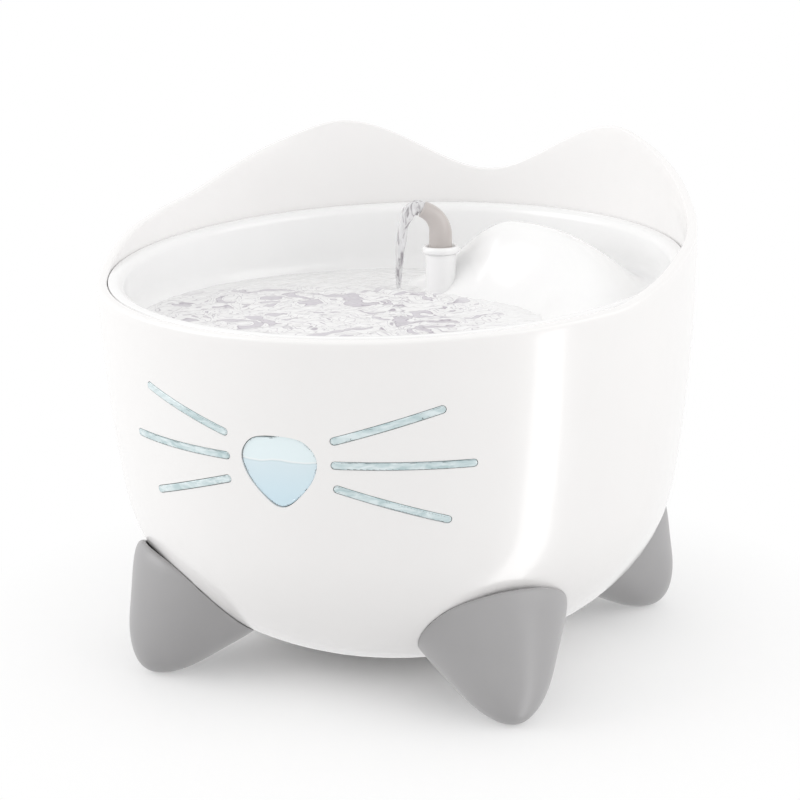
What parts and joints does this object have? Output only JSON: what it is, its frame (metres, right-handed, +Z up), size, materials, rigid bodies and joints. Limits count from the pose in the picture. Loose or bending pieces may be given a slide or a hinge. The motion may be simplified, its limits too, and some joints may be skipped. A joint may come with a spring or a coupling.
{
  "type": "pet water fountain",
  "caption": "Round white drinking fountain for cats, with ear-shaped back wall, face windows, horn-shaped feet, a lift-out tray with swivelling spout, filter and pump.",
  "frame": {"origin": "on the ground, on the upright axis of the round body", "axes": "+Z up, front towards -Y, power inlet towards +Y, +X to the fountain's right seen from the front"},
  "size_m": [0.2392, 0.2391, 0.202],
  "materials": {
    "shell_white": "smooth white moulding, soft gloss",
    "tray_white": "smooth white moulding, gloss",
    "window_clear": "clear moulding",
    "whisker_clear": "pale blue-green translucent moulding",
    "foot_grey": "satin grey moulding",
    "spout_grey": "grey moulding, gloss",
    "rubber_grey": "soft, matt",
    "rubber_black": "soft, matt",
    "screw_steel": "plated",
    "filter_white": "plain moulding",
    "carbon_black": "loose granules held as a bed",
    "resin_amber": "loose beads held as a bed",
    "foam_grey": "open foam",
    "pump_black": "fine spark-eroded texture",
    "potting_black": "poured resin",
    "impeller_white": "plain moulding",
    "core_steel": "stacked sheets",
    "coil_copper": "enamelled wire",
    "magnet_dark": "sintered ferrite",
    "shaft_ceramic": "ground ceramic, opaque",
    "contact_brass": "plain"
  },
  "bodies": {
    "root": {"reservoir": "shell_white", "nose_window": "window_clear", "nose_gasket": "rubber_grey", "foot_screws": "screw_steel", "foot_pads": "rubber_black", "riser_tube": "filter_white", "pump_chamber": "filter_white", "suction_cups": "rubber_grey", "filter_cup": "filter_white", "motor_housing": "pump_black", "motor_potting": "potting_black", "stator_core": "core_steel", "stator_coil": "coil_copper", "volute": "pump_black", "intake_cover": "pump_black", "pump_shaft": "shaft_ceramic", "well_bush": "rubber_grey", "intake_bush": "rubber_grey", "pump_feet": "rubber_grey", "lead": "rubber_black", "lead_clips": "filter_white", "lead_grommet": "rubber_grey", "power_inlet": "pump_black", "power_inlet_pin": "contact_brass", "power_inlet_seal": "rubber_grey", "power_inlet_nut": "pump_black", "whisker_right_upper": "whisker_clear", "whisker_right_middle": "whisker_clear", "whisker_right_lower": "whisker_clear", "foot_front_right": "foot_grey", "foot_rear_right": "foot_grey", "whisker_left_upper": "whisker_clear", "whisker_left_middle": "whisker_clear", "whisker_left_lower": "whisker_clear", "foot_front_left": "foot_grey", "foot_rear_left": "foot_grey"},
    "cartridge": {"cartridge_frame": "filter_white", "softening_bed": "resin_amber", "carbon_bed": "carbon_black", "foam_pad": "foam_grey"},
    "lid": {"filter_lid": "filter_white"},
    "tray": {"drinking_tray": "tray_white", "spout_collar": "tray_white", "socket_seal": "rubber_grey"},
    "spout": {"spout": "spout_grey"},
    "rotor": {"rotor_magnet": "magnet_dark", "impeller": "impeller_white"},
    "slider": {"flow_slider": "filter_white"}
  },
  "joints": [
    {"name": "cartridge_lift", "type": "slide", "parent": "root", "child": "cartridge", "axis": [0, 0, 1], "range_m": [0, 0.14]},
    {"name": "lid_lift", "type": "slide", "parent": "cartridge", "child": "lid", "axis": [0, 0, 1], "range_m": [0, 0.115]},
    {"name": "tray_lift", "type": "slide", "parent": "lid", "child": "tray", "axis": [0, 0, 1], "range_m": [0, 0.095]},
    {"name": "spout_swivel", "type": "hinge", "parent": "tray", "child": "spout", "pos_m": [0, 0.0529, 0.15], "axis": [0, 0, 1], "range_deg": [-120, 120]},
    {"name": "impeller_spin", "type": "hinge", "parent": "root", "child": "rotor", "pos_m": [0, 0.05, 0.0405], "axis": [0, 1, 0], "continuous": true},
    {"name": "flow_slide", "type": "slide", "parent": "root", "child": "slider", "axis": [1, 0, 0], "range_m": [0, 0.005]}
  ]
}
